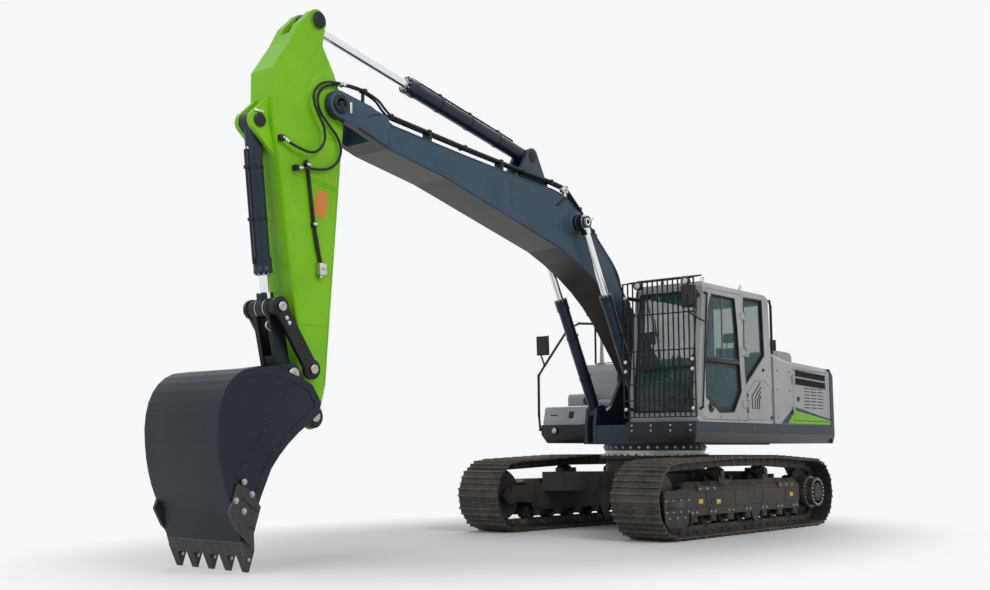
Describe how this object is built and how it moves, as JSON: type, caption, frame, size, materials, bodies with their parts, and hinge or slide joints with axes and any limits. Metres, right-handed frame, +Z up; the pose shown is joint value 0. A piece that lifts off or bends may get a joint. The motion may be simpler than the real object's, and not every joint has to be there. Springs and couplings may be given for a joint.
{
  "type": "crawler excavator",
  "caption": "Crawler excavator with a swinging house, side cab behind a bar guard, jointed boom and stick on rams, and a toothed digging bucket.",
  "frame": {"origin": "on the ground under the middle of the machine's box, with the arm stretched forward as it parks", "axes": "+X forward from the cab towards the bucket, +Y to the cab's side (left), +Z up"},
  "size_m": [9.88, 2.935, 5],
  "materials": {
    "undercarriage_paint": "worn black paint with bare metal on the ribs of the shoes",
    "slate_paint": "dark slate satin paint",
    "silver_paint": "light warm grey satin paint",
    "lime_paint": "bright lime green satin paint",
    "black_paint": "near-black satin paint",
    "machined_steel": "machined steel",
    "rod_chrome": "polished chrome",
    "tinted_glass": "teal tinted glass",
    "seat_cloth": "dark woven cloth",
    "hose_steel": "black painted tube"
  },
  "bodies": {
    "undercarriage": {"carbody": "undercarriage_paint", "track_frame_left": "undercarriage_paint", "track_frame_right": "undercarriage_paint", "track_left": "undercarriage_paint", "track_right": "undercarriage_paint", "idlers": "undercarriage_paint", "sprockets": "undercarriage_paint", "bottom_rollers": "undercarriage_paint", "carrier_rollers": "undercarriage_paint", "slew_ring_lower": "machined_steel"},
    "house": {"slew_ring_upper": "slate_paint", "platform": "slate_paint", "side_decks": "slate_paint", "counterweight": "slate_paint", "engine_block": "black_paint", "engine_bay": "silver_paint", "fuel_tank": "silver_paint", "toolbox": "silver_paint", "cab_shell": "silver_paint", "cab_glass": "tinted_glass", "seat": "seat_cloth", "front_guard": "black_paint", "handrails": "black_paint", "mirrors": "black_paint"},
    "cab_door": {"cab_door": "silver_paint", "door_glass": "tinted_glass"},
    "engine_hood": {"engine_hood": "silver_paint"},
    "louvre_door": {"louvre_door": "silver_paint"},
    "pump_door": {"pump_door": "silver_paint"},
    "toolbox_lid": {"toolbox_lid": "silver_paint"},
    "boom": {"boom": "slate_paint", "boom_pipes": "hose_steel"},
    "lift_barrels": {"lift_barrels": "black_paint"},
    "lift_rods": {"lift_rods": "rod_chrome"},
    "reach_barrel": {"reach_barrel": "black_paint"},
    "reach_rod": {"reach_rod": "rod_chrome"},
    "stick": {"stick": "lime_paint", "stick_pipes": "hose_steel"},
    "curl_barrel": {"curl_barrel": "black_paint"},
    "curl_rod": {"curl_rod": "rod_chrome"},
    "side_links": {"side_links": "black_paint"},
    "bucket_link": {"bucket_link": "black_paint"},
    "bucket": {"bucket": "black_paint", "bucket_teeth": "black_paint"}
  },
  "joints": [
    {"name": "slew", "type": "hinge", "parent": "undercarriage", "child": "house", "pos_m": [-2.171, 0, 1], "axis": [0, 0, 1], "continuous": true},
    {"name": "boom_foot", "type": "hinge", "parent": "house", "child": "boom", "pos_m": [-1.921, 0, 1.88], "axis": [0, -1, 0], "range_deg": [-60, 36]},
    {"name": "stick_pivot", "type": "hinge", "parent": "boom", "child": "stick", "pos_m": [3.48, 0, 4.135], "axis": [0, -1, 0], "range_deg": [-40, 70]},
    {"name": "bucket_pivot", "type": "hinge", "parent": "stick", "child": "bucket", "pos_m": [3.698, 0, 1.263], "axis": [0, 1, 0], "range_deg": [-5, 140]},
    {"name": "lift_barrel_foot", "type": "hinge", "parent": "house", "child": "lift_barrels", "pos_m": [-1.351, 0, 1.42], "axis": [0, -1, 0], "range_deg": [-61.5, 37]},
    {"name": "lift_rod_stroke", "type": "slide", "parent": "lift_barrels", "child": "lift_rods", "axis": [0.4717, 0, 0.8818], "range_m": [-0.72, 0.432]},
    {"name": "reach_barrel_foot", "type": "hinge", "parent": "boom", "child": "reach_barrel", "pos_m": [0.456, 0, 4.258], "axis": [0, -1, 0], "range_deg": [-1.5, 2.6]},
    {"name": "reach_rod_stroke", "type": "slide", "parent": "reach_barrel", "child": "reach_rod", "axis": [0.9814, 0, 0.1921], "range_m": [-0.908, 0.52]},
    {"name": "curl_barrel_foot", "type": "hinge", "parent": "stick", "child": "curl_barrel", "pos_m": [4.313, 0, 3.825], "axis": [0, -1, 0], "range_deg": [-0.37, 9.5]},
    {"name": "curl_rod_stroke", "type": "slide", "parent": "curl_barrel", "child": "curl_rod", "axis": [-0.1306, 0, -0.9914], "range_m": [-0.036, 0.999]},
    {"name": "side_link_pivot", "type": "hinge", "parent": "stick", "child": "side_links", "pos_m": [3.726, 0, 1.677], "axis": [0, 1, 0], "range_deg": [-3.8, 104.9]},
    {"name": "bucket_link_pivot", "type": "hinge", "parent": "side_links", "child": "bucket_link", "pos_m": [4.099, 0, 2.2], "axis": [0, 1, 0], "range_deg": [-78.3, 2.85]},
    {"name": "cab_door_hinge", "type": "hinge", "parent": "house", "child": "cab_door", "pos_m": [-2.109, 1.371, 2], "axis": [0, 0, 1], "range_deg": [0, 165]},
    {"name": "louvre_door_hinge", "type": "hinge", "parent": "house", "child": "louvre_door", "pos_m": [-3.372, 1.344, 1.65], "axis": [0, 0, -1], "range_deg": [0, 110]},
    {"name": "pump_door_hinge", "type": "hinge", "parent": "house", "child": "pump_door", "pos_m": [-2.917, -1.344, 1.65], "axis": [0, 0, 1], "range_deg": [0, 110]},
    {"name": "engine_hood_hinge", "type": "hinge", "parent": "house", "child": "engine_hood", "pos_m": [-3.379, 0, 2.152], "axis": [0, 1, 0], "range_deg": [0, 70]},
    {"name": "toolbox_lid_hinge", "type": "hinge", "parent": "house", "child": "toolbox_lid", "pos_m": [-2.095, 0, 1.523], "axis": [0, -1, 0], "range_deg": [0, 85]}
  ],
  "couplings": [
    {"joint": "lift_barrel_foot", "follows": "boom_foot", "ratio": 1.0157},
    {"joint": "lift_rod_stroke", "follows": "boom_foot", "m_per_rad": 0.6846},
    {"joint": "reach_barrel_foot", "follows": "stick_pivot", "ratio": 0.036},
    {"joint": "reach_rod_stroke", "follows": "stick_pivot", "m_per_rad": -0.741},
    {"joint": "curl_barrel_foot", "follows": "bucket_pivot", "ratio": 0.0671},
    {"joint": "curl_rod_stroke", "follows": "bucket_pivot", "m_per_rad": 0.4082},
    {"joint": "side_link_pivot", "follows": "bucket_pivot", "ratio": 0.748},
    {"joint": "bucket_link_pivot", "follows": "bucket_pivot", "ratio": -0.558}
  ]
}
